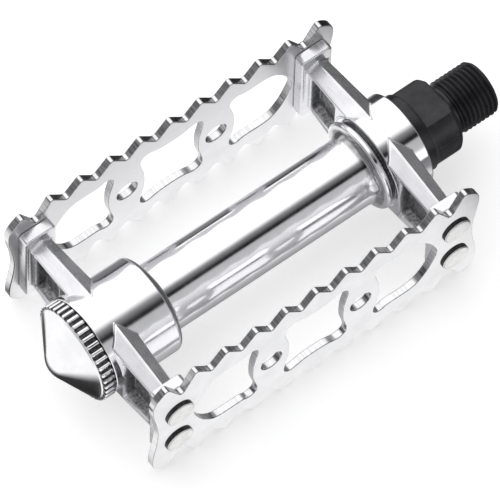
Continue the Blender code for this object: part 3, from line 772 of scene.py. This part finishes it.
def plate_outline():
    top = tooth_edge()
    x0, z0 = top[-1]
    h, w = PLATE_HALF_LENGTH, PLATE_WAIST
    end = smooth_loop(
        [(x0, z0), (46.3, 16.35), (h, 13.6), (h - 0.25, 9.6), (46.25, 4.4), (w, 0.0), (46.25, -4.4), (h - 0.25, -9.6), (h, -13.6), (46.3, -16.35), (x0, -z0)],
        per=6,
        closed=False,
    )
    end = [(min(x, PLATE_HALF_LENGTH), z) for x, z in end]
    bottom = [(x, -z) for x, z in reversed(top)]
    far = [(-x, z) for x, z in reversed(end)]
    return top + end[1:-1] + bottom + far[1:-1]


def middle_window():
    quarter = [(0.0, 9.9), (3.6, 10.2), (6.7, 11.1), (8.6, 10.3), (9.1, 8.4), (8.5, 5.4), (7.9, 2.4)]
    right = quarter + [(x, -z) for x, z in reversed(quarter)]
    left = [(-x, z) for x, z in reversed(right[1:-1])]
    return smooth_loop(right + left, per=6)


def end_window(side):
    upper = [
        (35.4, 0.0), (34.4, 3.4), (32.5, 6.9), (29.9, 9.5), (27.0, 10.3), (21.6, 10.3), (19.2, 11.0), (17.5, 10.2),
        (17.1, 8.3), (17.9, 5.0), (18.4, 2.2),
    ]
    loop = upper + [(x, -z) for x, z in reversed(upper[1:])]
    return [(side * x, z) for x, z in smooth_loop(loop, per=6)]


def plate_curve(bevel):
    loops = [plate_outline(), middle_window(), end_window(-1), end_window(1)]
    loops += [circle(x, 0.0, HOLE_R, 48) for x in (-HOLE_X, HOLE_X)]
    loops += [circle(x, z, 2.08, 32) for x in (-ARM_X, ARM_X) for z in (-RIVET_Z, RIVET_Z)]
    curve = bpy.data.curves.new("plate", "CURVE")
    curve.dimensions = "2D"
    curve.fill_mode = "BOTH"
    curve.extrude = ((PLATE_Y1 - PLATE_Y0) / 2 - bevel) * MM
    curve.bevel_depth = bevel * MM
    curve.bevel_resolution = 3
    curve.offset = -bevel * MM
    for loop in loops:
        spline = curve.splines.new("POLY")
        spline.points.add(len(loop) - 1)
        for point, (x, z) in zip(spline.points, loop):
            point.co = (x * MM, z * MM, 0.0, 1.0)
        spline.use_cyclic_u = True
    return curve


def cage_plate(node, side):
    flat = bpy.data.objects.new(node + "_outline", plate_curve(0.28))
    bpy.context.scene.collection.objects.link(flat)
    bpy.context.view_layer.update()
    mesh = bpy.data.meshes.new_from_object(flat.evaluated_get(bpy.context.evaluated_depsgraph_get()))
    bpy.data.objects.remove(flat, do_unlink=True)
    mesh.transform(Matrix.Rotation(math.radians(90), 4, "X"))
    mesh.transform(Matrix.Translation((0.0, side * (PLATE_Y0 + PLATE_Y1) / 2 * MM, 0.0)))
    import bmesh

    bm = bmesh.new()
    bm.from_mesh(mesh)
    bmesh.ops.remove_doubles(bm, verts=bm.verts, dist=0.000002)
    bmesh.ops.recalc_face_normals(bm, faces=bm.faces)
    for face in bm.faces:
        face.smooth = True
    bm.to_mesh(mesh)
    bm.free()
    mesh.name = node + "_visual"
    mesh.materials.clear()
    mesh.materials.append(CAGE)
    obj = bpy.data.objects.new(node + "_visual", mesh)
    bpy.context.scene.collection.objects.link(obj)
    mod = obj.modifiers.new("normals", "WEIGHTED_NORMAL")
    mod.mode = "FACE_AREA"
    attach(obj, "platform")
    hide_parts(node)
    return obj


cage_plate("cage_plate_front", -1)
cage_plate("cage_plate_rear", 1)


# ---------------------------------------------------------------------------------------------------------------
# Rivets


def rivet_profile():
    """From the head's middle to the shank's end, as (distance out from the plate's face, radius)."""
    h = RIVET_OUT - PLATE_Y1
    head = [(h, 0.7), (h, 1.6), (h - 0.05, RIVET_HEAD_R - 0.60)]
    p = [(a, b) for a, b in head]
    p += [(h - 0.50 + 0.44 * math.cos(math.radians(t)), RIVET_HEAD_R - 0.50 + 0.50 * math.sin(math.radians(t))) for t in range(10, 91, 8)]
    p += fillet([(h - 1.0, RIVET_HEAD_R), (0.08, RIVET_HEAD_R), (0.08, 2.0), (-5.4, 2.0), (-5.8, 1.6)], 0.1, 2)
    return p


for side, s in (("front", -1), ("rear", 1)):
    for end, cx in (("outboard", -ARM_X), ("inboard", ARM_X)):
        for level, z in (("upper", RIVET_Z), ("lower", -RIVET_Z)):
            node = f"rivet_{side}_{end}_{level}"
            points, faces = solid_lathe(rivet_profile(), 64)
            points = np.stack([points[:, 1] + cx, s * (points[:, 0] + PLATE_Y1), points[:, 2] + z], axis=1)
            obj = new_object(node + "_visual", points, outward(points - points.mean(0), faces), RIVET, "platform", [node])
            # the satin plates are too dull to mirror the dark sides of the heads
            obj.visible_glossy = False


# ---------------------------------------------------------------------------------------------------------------
# Dust cap: knurled ring, conical flank and round nose, hollow spigot

TEETH_ROUND = 40


def knurl(theta):
    """How far a point of the grip ring lies below its crest, from 0 on a tooth to 1 in a gap."""
    phase = (theta * TEETH_ROUND / (2 * math.pi)) % 1.0
    d = np.abs(phase - 0.5) * 2  # 0 in the middle of a gap, 1 in the middle of a tooth
    t = np.clip((0.62 - d) / 0.26, 0, 1)
    crown = 0.10 * (1 - np.clip((d - 0.5) / 0.5, 0, 1)) ** 2
    return t * t * (3 - 2 * t) + crown


def dust_cap():
    n = TEETH_ROUND * 12
    theta = around(n)
    depth = knurl(theta)
    ring_in, ring_out = BARREL_OUT - 0.1, -49.1
    centre, nose_r = CAP_TIP + 6.0, 6.0
    flank_x, flank_r = ring_out - 0.3, RING_R - 1.1
    reach = math.hypot(flank_x - centre, flank_r)
    touch = math.degrees(math.atan2(flank_r, flank_x - centre) + math.acos(nose_r / reach))
    stations = []
    for x, r in fillet([(CAP_IN, 9.4), (CAP_IN, 11.17), (ring_in, 11.17), (ring_in, 12.0)], [0, 0.3, 0.05, 0.0], 3):
        stations.append(ring_at(x, r, theta))
    for x, r, k in [
        (ring_in, RING_R - 0.85, 0.15), (ring_in - 0.02, RING_R - 0.55, 0.5), (ring_in - 0.10, RING_R - 0.28, 0.8), (ring_in - 0.22, RING_R - 0.1, 0.95), (ring_in - 0.4, RING_R, 1.0),
        (ring_in - 1.2, RING_R, 1.0), (ring_in - 2.2, RING_R, 1.0), (ring_out + 0.45, RING_R, 1.0), (ring_out + 0.25, RING_R - 0.1, 0.95), (ring_out + 0.1, RING_R - 0.28, 0.75),
        (ring_out + 0.02, RING_R - 0.55, 0.4), (ring_out, RING_R - 0.85, 0.0),
    ]:
        stations.append(ring_at(x, r - 0.72 * k * depth, theta))
    cone = [(ring_out, RING_R - 0.95), (flank_x, flank_r)] + arc(centre, 0.0, nose_r, touch, 176, 26)
    for x, r in fillet(cone[:3], [0, 0.35, 0], 4)[:-1] + cone[2:]:
        stations.append(ring_at(x, r, theta))
    outer = np.array(stations)
    # the inside, from the axis back out to the spigot's mouth
    inside = fillet([(-48.6, 0.3), (-48.6, 7.4), (-47.4, 9.4), (CAP_IN, 9.4)], 0.3, 3)
    whole = np.concatenate([outer, [ring_at(CAP_TIP, 0.02, theta)], [ring_at(x, r, theta) for x, r in inside[:-1]]])
    # the two axis points are closed by fans, so the shell is cut there
    cut = len(outer) + 1
    points, faces = [], []
    m = len(whole)
    flat = whole.reshape(-1, 3)
    for i in range(m):
        if i == cut - 1:
            continue
        a, b = i * n, ((i + 1) % m) * n
        for j in range(n):
            k = (j + 1) % n
            faces.append((a + j, a + k, b + k, b + j))
    tip, floor = len(flat), len(flat) + 1
    flat = np.concatenate([flat, [[CAP_TIP, 0, 0]], [[-48.6, 0, 0]]])
    for j in range(n):
        k = (j + 1) % n
        faces.append((tip, (cut - 1) * n + j, (cut - 1) * n + k))
        faces.append((floor, cut * n + k, cut * n + j))
    return flat, faces


points, faces = dust_cap()
new_object("dust_cap_visual", points, outward(points, faces), CHROME, "platform", ["dust_cap"])


# ---------------------------------------------------------------------------------------------------------------
# Spindle: collar, spanner flats with a grooved round side, relief and a real right-hand 9/16 in x 20 thread

FLAT_ANGLE = math.radians(80)
ACROSS = 7.5


def flat_radius(theta, cap_r, corner=0.0):
    c = np.abs(np.cos(theta - FLAT_ANGLE))
    return np.minimum(cap_r, ACROSS / np.maximum(c, 1e-6) - corner)


def groove(theta):
    out = np.zeros_like(theta)
    for mid in (FLAT_ANGLE + math.pi / 2, FLAT_ANGLE - math.pi / 2):
        for i in range(-2, 3):
            d = np.abs((theta - mid - math.radians(7.0) * i + math.pi) % (2 * math.pi) - math.pi)
            t = np.clip(1 - d / math.radians(2.0), 0, 1)
            out = np.maximum(out, t * t * (3 - 2 * t))
    return out


def thread_radius(x, theta):
    phase = ((x - THREAD_START) / PITCH - theta / (2 * math.pi)) % 1.0
    v = np.abs(phase - 0.5) * 2  # 0 at a crest, 1 at a root
    height = np.clip((0.93 - v) / 0.80, 0, 1)
    return THREAD_R - 0.74 * (1 - height)


def spindle():
    n = 360
    theta = around(n)
    rows = []
    add = lambda x, r: rows.append(ring_at(x, r, theta))
    face = THREAD_END
    for x, r in [(face, 1.0), (face, 4.2), (face, 5.6), (face - 0.03, 5.95), (face - 0.12, 6.15)]:
        add(x, r)
    steps = 176
    xs = np.linspace(face - 0.2, THREAD_START - 0.2, steps)
    for x in xs:
        r = thread_radius(x, theta)
        chamfer = 6.25 + max(face - 0.12 - x, 0.0) * 0.95
        runout = 6.2 + max(x - (THREAD_START - 0.15), 0.0) * 1.2
        add(x, np.minimum(np.minimum(r, chamfer), runout))
    for x, r in fillet([(THREAD_START - 0.4, 6.2), (59.3, 6.2), (58.8, 7.3)], [0, 0.45, 0], 5):
        add(x, r)
    # end face of the flatted section and its chamfer
    for x, r in [(58.8, 7.32), (58.8, 8.55), (58.74, 8.75), (58.6, 8.95), (57.95, 9.6), (57.8, 9.72), (57.6, 9.78)]:
        add(x, flat_radius(theta, r, 0.12 if x > 58.7 else 0.0))
    g = groove(theta)
    for x, k in [(57.3, 0.0), (57.0, 0.6), (56.7, 1.0), (55.0, 1.0), (53.0, 1.0), (51.9, 1.0), (51.6, 0.6), (51.3, 0.0), (51.0, 0.0)]:
        add(x, flat_radius(theta, 9.8) - 0.36 * k * g)
    # the step wall at the end of the flats, and the collar
    low = flat_radius(theta, 9.8)
    for x, t in [(50.9, 0.0), (50.78, 0.03), (50.71, 0.10), (50.70, 0.25), (50.70, 0.88), (50.66, 0.96), (50.58, 1.0)]:
        add(x, low + (9.8 - low) * t)
    for x, r in fillet([(50.35, 9.8), (50.2, 9.85), (50.1, 10.3), (47.9, 10.3), (47.7, 10.1), (47.7, 7.9), (43.9, 7.9)], 0.1, 3):
        add(x, r)
    for x, r in arc(INNER_BALL_X, BALL_CIRCLE_R, RACE_R, -12, -90, 12):
        add(x, r)
    for x, r in fillet([(38.6, 5.2), (34.0, 5.6), (-33.0, 4.9), (-35.6, 4.9), (-36.0, 3.95), (SPINDLE_TIP + 0.6, 3.95), (SPINDLE_TIP, 3.35), (SPINDLE_TIP, 0.8)], 0.2, 3):
        if -46.0 < x < -36.2:
            continue
        add(x, r)
        if abs(x + 36.0) < 0.15 and r < 4.0 and not any(abs(row[0][0] + 37.0) < 0.01 for row in rows):
            for x2 in np.linspace(-36.6, -45.9, 150):
                phase = (x2 / 1.0 - theta / (2 * math.pi)) % 1.0
                v = np.abs(phase - 0.5) * 2
                keyed = np.abs((theta - math.pi / 2 + math.pi) % (2 * math.pi) - math.pi) < math.asin(0.9 / 3.95)
                r2 = 3.95 - 0.5 * np.clip((v - 0.1) / 0.8, 0, 1)
                if x2 < -41.0:
                    r2 = np.where(keyed, np.minimum(r2, 2.9 / np.maximum(np.sin(theta), 0.2)), r2)
                add(x2, r2)
    return rings(rows)


points, faces = spindle()
new_object("spindle_visual", points, outward(points, faces), BLACK, "spindle_group", ["spindle"])


# ---------------------------------------------------------------------------------------------------------------
# Bearings and the hardware on the spindle's outboard end


def cup(node, ball_x, d):
    back, front = ball_x + d * 3.3, ball_x - d * 2.2
    race = arc(ball_x, BALL_CIRCLE_R, RACE_R, 90, 0 if d > 0 else 180, 14)
    if d > 0:
        profile = fillet([(ball_x + RACE_R, 7.15), (back, 7.15), (back, 10.4), (front, 10.4), (front, BALL_CIRCLE_R + RACE_R)], 0.3, 3)[1:]
        profile = profile + race
    else:
        profile = fillet([(front, BALL_CIRCLE_R + RACE_R), (front, 10.4), (back, 10.4), (back, 7.15), (ball_x - RACE_R, 7.15)], 0.3, 3)[:-1]
        profile = profile + race[::-1]
    points, faces = lathe(profile, 120)
    new_object(node + "_visual", points, outward(points, faces), RACE, "platform", [node])


cup("bearing_cup_outboard", OUTER_BALL_X, 1)
cup("bearing_cup_inboard", INNER_BALL_X, -1)

cone_out, cone_in, bore = -41.6, OUTER_BALL_X + 0.5, 4.05
profile = [(cone_in, bore), (cone_in, BALL_CIRCLE_R - RACE_R - 0.1)]
profile += arc(OUTER_BALL_X, BALL_CIRCLE_R, RACE_R, 270, 192, 14)
theta = around(240)
outer = [ring_at(x, r, theta) for x, r in profile[1:]]


def cone_flats(r):
    return np.minimum(r, 6.0 / np.maximum(np.abs(np.cos(theta)), 1e-6))


outer += [ring_at(x, r, theta) for x, r in [(-39.6, 6.87), (-39.98, 6.87)]]
outer += [ring_at(x, cone_flats(r), theta) for x, r in [(-40.0, 6.87), (-41.3, 6.87), (-41.5, 6.75), (cone_out, 6.6)]]
outer += [ring_at(x, r, theta) for x, r in [(cone_out, 4.4), (cone_out + 0.25, bore), (cone_in - 0.2, bore), (cone_in, bore + 0.15)]]
points, faces = rings(outer, loop=True)
new_object("adjusting_cone_visual", points, outward(points, faces), RACE, "spindle_group", ["adjusting_cone"])

nut_lo, nut_hi = span("lock_nut")
theta = around(240)
hexagon = 6.0 / np.cos((theta + math.pi / 6) % (math.pi / 3) - math.pi / 6)
if nut_hi[1] - nut_lo[1] > nut_hi[2] - nut_lo[2]:  # corners lie along Y
    hexagon = 6.0 / np.cos(theta % (math.pi / 3) - math.pi / 6)
stations = []
for x, r in [(nut_hi[0], 5.6), (nut_hi[0] - 0.02, 5.9), (nut_hi[0] - 0.35, 6.5), (nut_hi[0] - 0.55, 7.1), (nut_lo[0] + 0.55, 7.1), (nut_lo[0] + 0.35, 6.5), (nut_lo[0] + 0.02, 5.9), (nut_lo[0], 5.6)]:
    stations.append(ring_at(x, np.minimum(r, hexagon - 0.01), theta))
for x, r in [(nut_lo[0], 4.5), (nut_lo[0] + 0.4, bore), (nut_hi[0] - 0.4, bore), (nut_hi[0], 4.5)]:
    stations.append(ring_at(x, r, theta))
points, faces = rings(stations, loop=True)
new_object("lock_nut_visual", points, outward(points - points.mean(0), faces), ZINC, "spindle_group", ["lock_nut"])

profile = fillet([(47.1, 8.3), (47.1, 10.3), (46.8, 10.65), (44.6, 10.65), (44.6, 8.3), (45.2, 8.05), (45.8, 8.3), (46.4, 8.8)], 0.15, 3, closed=True)
points, faces = lathe(profile, 144)
new_object("dust_seal_visual", points, outward(points, faces), RUBBER, "platform", ["dust_seal"])

import bmesh

for end in ("outboard", "inboard"):
    for i in range(BALLS):
        node = f"ball_{end}_{i + 1:02d}"
        low, high = span(node)
        centre = (low + high) / 2
        bm = bmesh.new()
        bmesh.ops.create_uvsphere(bm, u_segments=32, v_segments=20, radius=BALL_R)
        points = np.array([v.co for v in bm.verts])
        faces = [tuple(v.index for v in f.verts) for f in bm.faces]
        bm.free()
        points = points[:, [2, 0, 1]] + centre
        new_object(node + "_visual", points, faces, BALL, f"{end}_ball_ring", [node], weighted=False)

# the washer keeps its CAD shape
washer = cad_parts["tabbed_lock_washer"]
washer.data.materials.clear()
washer.data.materials.append(ZINC)


# ---------------------------------------------------------------------------------------------------------------
# Floor, light and camera

floor_z = float(plate_lo[2]) - 0.02

# greys of the light tent (degrees from straight up towards -Y), of its ends (-X to +X) and of the table as the metal
# sees it (metres)
TENT = [(-180, 0.10), (-118, 0.12), (-100, 0.55), (-88, 1.0), (4, 1.0), (16, 0.22), (32, 0.01), (38, 0.01), (42, 0.40), (64, 0.45), (72, 1.0), (104, 1.0), (125, 0.6), (180, 0.1)]
TENT_ENDS = [(-1.0, 0.28), (-0.84, 0.30), (-0.70, 0.60), (-0.5, 0.62), (0.5, 0.50), (0.72, 0.30), (0.85, 0.16), (1.0, 0.16)]
TABLE_ACROSS = [(-0.25, 0.75), (-0.10, 0.95), (-0.030, 1.0), (-0.024, 0.50), (-0.010, 0.30), (0.000, 0.42), (0.005, 0.95), (0.030, 1.0), (0.040, 0.50), (0.055, 0.22), (0.25, 0.12)]
TABLE_ALONG = [(-0.4, 1.0), (0.052, 1.0), (0.064, 0.25), (0.4, 0.15)]
TABLE_BEFORE_CAP = [(-0.4, 1.0), (-0.082, 1.0), (-0.071, 0.10), (-0.0505, 0.06), (-0.045, 1.0), (0.4, 1.0)]
TABLE_BESIDE_CAP = [(-0.25, 1.0), (-0.0175, 1.0), (-0.0135, 0.0), (0.025, 0.0), (0.031, 1.0), (0.25, 1.0)]
TABLE_OUTBOARD = [(-0.4, 1.0), (-0.053, 1.0), (-0.047, 0.0), (0.4, 0.0)]
TABLE_LEFT = [(-0.4, 1.0), (-0.083, 1.0), (-0.066, 0.0), (0.4, 0.0)]


def rgba_sockets(sockets):
    return [s for s in sockets if s.type == "RGBA"]


def sheet(name, half, z, material):
    mesh = bpy.data.meshes.new(name)
    mesh.from_pydata([(-half, -half, z * MM), (half, -half, z * MM), (half, half, z * MM), (-half, half, z * MM)], [], [(0, 1, 2, 3)])
    mesh.materials.append(material)
    obj = bpy.data.objects.new(name, mesh)
    bpy.context.scene.collection.objects.link(obj)
    return obj


def bands(tree, value, low, high, stops):
    """A grey ramp over value from low to high, with stops as (position, grey)."""
    share = tree.nodes.new("ShaderNodeMapRange")
    share.inputs["From Min"].default_value = low
    share.inputs["From Max"].default_value = high
    tree.links.new(value, share.inputs["Value"])
    ramp = tree.nodes.new("ShaderNodeValToRGB")
    tree.links.new(share.outputs["Result"], ramp.inputs["Fac"])
    elements = ramp.color_ramp.elements
    while len(elements) > 1:
        elements.remove(elements[-1])
    for i, (position, grey) in enumerate(stops):
        place = (position - low) / (high - low)
        element = elements[0] if i == 0 else elements.new(place)
        element.position = place
        element.color = (grey, grey, min(grey * 1.015, 1.0), 1.0)
    return ramp.outputs["Color"]


def blend(tree, kind, fac, a, b):
    node = tree.nodes.new("ShaderNodeMix")
    node.data_type = "RGBA"
    node.blend_type = kind
    if isinstance(fac, float):
        node.inputs["Factor"].default_value = fac
    else:
        tree.links.new(fac, node.inputs["Factor"])
    first, second = rgba_sockets(node.inputs)
    tree.links.new(a, first)
    tree.links.new(b, second)
    return rgba_sockets(node.outputs)[0]


# a pale, lit table
table = bpy.data.materials.new("table")
table.use_nodes = True
shader = table.node_tree.nodes["Principled BSDF"]
shader.inputs["Base Color"].default_value = (0.80, 0.80, 0.80, 1.0)
shader.inputs["Roughness"].default_value = 0.9
shader.inputs["Specular IOR Level"].default_value = 0.0
shader.inputs["Emission Color"].default_value = (1.0, 1.0, 1.0, 1.0)
shader.inputs["Emission Strength"].default_value = 0.48
floor = sheet("floor", 4.0, floor_z, table)
floor.visible_glossy = False

# a glowing sheet that only the polished metal sees, painting the table's light and shade in its reflections: bright in
# front of the pedal and to its left, in painted shade under and behind it
shade = bpy.data.materials.new("table_in_reflections")
shade.use_nodes = True
tree = shade.node_tree
tree.nodes.remove(tree.nodes["Principled BSDF"])
glow = tree.nodes.new("ShaderNodeEmission")
tree.links.new(glow.outputs[0], tree.nodes["Material Output"].inputs["Surface"])
coords = tree.nodes.new("ShaderNodeTexCoord")
split = tree.nodes.new("ShaderNodeSeparateXYZ")
tree.links.new(coords.outputs["Object"], split.inputs[0])
across = bands(tree, split.outputs["Y"], -0.25, 0.25, TABLE_ACROSS)
along = bands(tree, split.outputs["X"], -0.4, 0.4, TABLE_ALONG)
under = blend(tree, "MULTIPLY", 1.0, across, along)
slant = tree.nodes.new("ShaderNodeMath")
slant.operation = "MULTIPLY_ADD"
slant.inputs[1].default_value = -0.5
tree.links.new(split.outputs["X"], slant.inputs[0])
shifted = tree.nodes.new("ShaderNodeMath")
shifted.inputs[1].default_value = -0.03
tree.links.new(split.outputs["Y"], shifted.inputs[0])
tree.links.new(shifted.outputs[0], slant.inputs[2])
beside = bands(tree, slant.outputs[0], -0.25, 0.25, TABLE_BESIDE_CAP)
before = bands(tree, split.outputs["X"], -0.4, 0.4, TABLE_BEFORE_CAP)
under = blend(tree, "MULTIPLY", 1.0, under, blend(tree, "LIGHTEN", 1.0, before, beside))
outboard = bands(tree, split.outputs["X"], -0.4, 0.4, TABLE_OUTBOARD)
under = blend(tree, "LIGHTEN", 1.0, under, blend(tree, "MULTIPLY", 1.0, outboard, beside))
lean = tree.nodes.new("ShaderNodeMath")
lean.operation = "MULTIPLY_ADD"
lean.inputs[1].default_value = -0.23
tree.links.new(split.outputs["Y"], lean.inputs[0])
tree.links.new(split.outputs["X"], lean.inputs[2])
left = bands(tree, lean.outputs[0], -0.4, 0.4, TABLE_LEFT)
tree.links.new(blend(tree, "LIGHTEN", 1.0, under, left), glow.inputs["Color"])
glow.inputs["Strength"].default_value = 1.12
card = sheet("table_in_reflections", 4.0, floor_z + 0.005, shade)
card.visible_camera = card.visible_diffuse = card.visible_shadow = card.visible_transmission = False

# the tent of light: bands round the pedal's long axis, in degrees from straight up towards -Y
world = bpy.data.worlds.new("studio")
bpy.context.scene.world = world
world.use_nodes = True
tree = world.node_tree
background = tree.nodes["Background"]
coords = tree.nodes.new("ShaderNodeTexCoord")
split = tree.nodes.new("ShaderNodeSeparateXYZ")
tree.links.new(coords.outputs["Generated"], split.inputs[0])
back = tree.nodes.new("ShaderNodeMath")
back.operation = "MULTIPLY"
back.inputs[1].default_value = -1.0
tree.links.new(split.outputs["Y"], back.inputs[0])
angle = tree.nodes.new("ShaderNodeMath")
angle.operation = "ARCTAN2"
tree.links.new(back.outputs[0], angle.inputs[0])
tree.links.new(split.outputs["Z"], angle.inputs[1])
degrees = tree.nodes.new("ShaderNodeMath")
degrees.operation = "DEGREES"
tree.links.new(angle.outputs[0], degrees.inputs[0])
tent = bands(tree, degrees.outputs[0], -180.0, 180.0, TENT)
ends = bands(tree, split.outputs["X"], -1.0, 1.0, TENT_ENDS)
cap = tree.nodes.new("ShaderNodeMath")
cap.operation = "ABSOLUTE"
tree.links.new(split.outputs["X"], cap.inputs[0])
fade = tree.nodes.new("ShaderNodeMapRange")
fade.interpolation_type = "SMOOTHSTEP"
fade.inputs["From Min"].default_value = 0.60
fade.inputs["From Max"].default_value = 0.74
tree.links.new(cap.outputs[0], fade.inputs["Value"])
tree.links.new(blend(tree, "MIX", fade.outputs["Result"], tent, ends), background.inputs["Color"])
background.inputs["Strength"].default_value = 1.35

bpy.context.scene.view_settings.view_transform = "Standard"
bpy.context.scene.view_settings.look = "None"

camera_data = bpy.data.cameras.new("camera")
camera_data.sensor_width = 36.0
camera_data.lens = 678.2
camera_data.clip_start, camera_data.clip_end = 0.05, 30.0
camera = bpy.data.objects.new("camera", camera_data)
bpy.context.scene.collection.objects.link(camera)
right = Vector((0.797698, -0.602832, 0.016484)).normalized()
down = Vector((-0.523465, -0.705729, -0.477421))
ahead = right.cross(down).normalized()
down = ahead.cross(right).normalized()
turn = Matrix((right, -down, -ahead)).transposed().to_4x4()
place = Vector((-657.915, -821.188, 1932.047)) * MM
camera.matrix_world = Matrix.Translation(place) @ turn
bpy.context.scene.camera = camera

bpy.context.view_layer.update()
